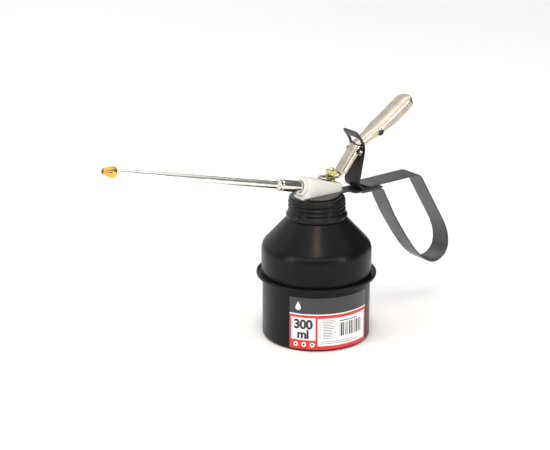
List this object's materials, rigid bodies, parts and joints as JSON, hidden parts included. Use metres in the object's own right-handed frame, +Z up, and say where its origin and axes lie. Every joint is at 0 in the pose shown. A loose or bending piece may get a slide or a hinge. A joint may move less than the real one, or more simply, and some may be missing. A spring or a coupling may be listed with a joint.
{
  "type": "hand oiler can",
  "caption": "Steel oil can with a screw cap, a lever pump with a rigid inclined spout and brass nozzle, and a bent strap handle; the thumb lever lifts the plunger rod.",
  "frame": {"origin": "centre of the can's flat base, on the surface that the can stands on", "axes": "+Z up along the can's axis; the spout points to -X and the strap handle to +X"},
  "size_m": [0.2756, 0.0812, 0.1564],
  "materials": {
    "can_paint": "semi-gloss black paint on pressed steel",
    "strap_paint": "satin black powder coat",
    "label": "printed gloss sticker, red, dark grey and white",
    "nylon": "moulded natural white nylon",
    "lever_nickel": "polished warm nickel plate",
    "chrome": "bright plated",
    "spout_nickel": "satin drawn tube",
    "brass": "turned brass",
    "yellow_zinc": "yellow zinc passivate",
    "steel": "bright steel",
    "rubber": "nitrile rubber",
    "tube_plastic": "natural polyethylene tube"
  },
  "bodies": {
    "can": {"can_cup": "can_paint", "can_shoulder": "can_paint", "label": "label"},
    "gasket": {"cap_gasket": "rubber"},
    "head": {"screw_cap": "can_paint", "mounting_plate": "strap_paint", "upright_bracket": "strap_paint", "handle_strap": "strap_paint", "pump_body": "nylon", "body_screw_1": "steel", "body_screw_2": "steel", "pump_barrel": "steel", "gland_nut": "yellow_zinc", "rod_gland": "brass", "rod_seal": "rubber", "return_spring": "steel", "foot_valve_body": "brass", "suction_tube": "tube_plastic", "strainer": "brass", "spout_ferrule": "chrome", "outlet_spring": "steel", "spout_tube": "spout_nickel", "nozzle_tip": "brass", "fulcrum_pin": "steel"},
    "plunger": {"plunger_rod": "yellow_zinc", "rod_nut": "yellow_zinc", "piston": "brass", "piston_cup": "rubber"},
    "lever": {"thumb_lever": "lever_nickel"},
    "foot_valve_ball": {"foot_ball": "steel"},
    "outlet_valve_ball": {"outlet_ball": "steel"}
  },
  "joints": [
    {"name": "cap_lift", "type": "slide", "parent": "can", "child": "gasket", "axis": [0, 0, 1], "range_m": [0, 0.0121]},
    {"name": "cap_unscrew", "type": "hinge", "parent": "gasket", "child": "head", "pos_m": [0, 0, 0.09], "axis": [0, 0, 1], "range_deg": [0, 1440]},
    {"name": "lever_press", "type": "hinge", "parent": "head", "child": "lever", "pos_m": [0.0315, 0, 0.1242], "axis": [0, 1, 0], "range_deg": [0, 15.1]},
    {"name": "plunger_lift", "type": "slide", "parent": "head", "child": "plunger", "axis": [0, 0, 1], "range_m": [0, 0.00691], "stiffness_N_per_m": 30, "springref_m": -0.005, "deforming": ["return_spring"]},
    {"name": "foot_ball_lift", "type": "slide", "parent": "head", "child": "foot_valve_ball", "axis": [0, 0, 1], "range_m": [0, 0.0009]},
    {"name": "outlet_ball_lift", "type": "slide", "parent": "head", "child": "outlet_valve_ball", "axis": [-0.9707, 0, 0.2402], "range_m": [0, 0.0008], "stiffness_N_per_m": 40, "springref_m": -0.002, "deforming": ["outlet_spring"]}
  ],
  "couplings": [
    {"joint": "cap_lift", "follows": "cap_unscrew", "m_per_rad": 0.00047746},
    {"joint": "lever_press", "follows": "plunger_lift", "rad_per_m": 37.879}
  ]
}
